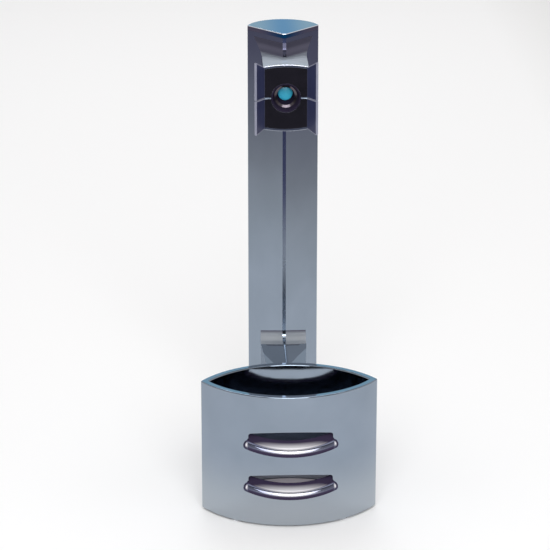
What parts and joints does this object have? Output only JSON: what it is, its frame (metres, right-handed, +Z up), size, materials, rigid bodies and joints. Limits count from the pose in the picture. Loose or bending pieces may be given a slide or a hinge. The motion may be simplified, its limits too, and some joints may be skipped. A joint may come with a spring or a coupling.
{
  "type": "soap dispenser",
  "caption": "Free-standing chrome soap dispenser: a tear-section column with a push-button pump head carries a lens-shaped drip cup with louvre slots on a short arm.",
  "frame": {"origin": "on the counter, under the middle of the whole outline", "axes": "+Z up along the column, -Y to the front where the cup stands, X across"},
  "size_m": [0.1, 0.1458, 0.26],
  "materials": {
    "chrome": "polished dark chrome plating",
    "black_gloss": "gloss black",
    "blue_button": "gloss cyan",
    "mat_grey": "matte pale grey",
    "rubber": "matte black",
    "steel": "stainless",
    "floor_plate": "dark grey",
    "natural_plastic": "milky",
    "nozzle_black": "satin black"
  },
  "bodies": {
    "stand": {"column_shell": "chrome", "arm": "chrome", "cup_shell": "chrome", "upper_lip": "chrome", "lower_lip": "chrome", "head_upper": "chrome", "head_lower": "chrome", "fascia_upper": "black_gloss", "fascia_lower": "black_gloss", "button_bezel": "black_gloss", "cup_mat": "mat_grey", "foot_pad": "rubber", "cup_feet": "rubber", "head_gasket": "rubber", "outlet_valve": "rubber", "arm_screws": "steel", "cup_screws": "steel", "head_screws": "steel", "return_spring": "steel", "cup_floor": "floor_plate", "base_plug": "floor_plate", "soap_tank": "natural_plastic", "tank_lid": "natural_plastic", "filler_tray": "natural_plastic", "barrel_gland": "natural_plastic", "pump_barrel": "natural_plastic", "suction_valve": "natural_plastic", "suction_tube": "natural_plastic", "outlet_duct": "natural_plastic", "nozzle": "nozzle_black"},
    "cap": {"top_cap": "chrome", "cap_seal": "rubber"},
    "button": {"push_button": "blue_button", "piston_rod": "steel", "piston": "natural_plastic", "piston_seal": "rubber"},
    "ball": {"suction_ball": "steel"}
  },
  "joints": [
    {"name": "button_press", "type": "slide", "parent": "stand", "child": "button", "axis": [0, 1, 0], "range_m": [0, 0.004], "stiffness_N_per_m": 800, "springref_m": -0.006, "deforming": ["return_spring"]},
    {"name": "cap_lift", "type": "slide", "parent": "stand", "child": "cap", "axis": [0, 0, 1], "range_m": [0, 0.04]},
    {"name": "ball_lift", "type": "slide", "parent": "stand", "child": "ball", "axis": [0, 0, 1], "range_m": [0, 0.001]}
  ]
}
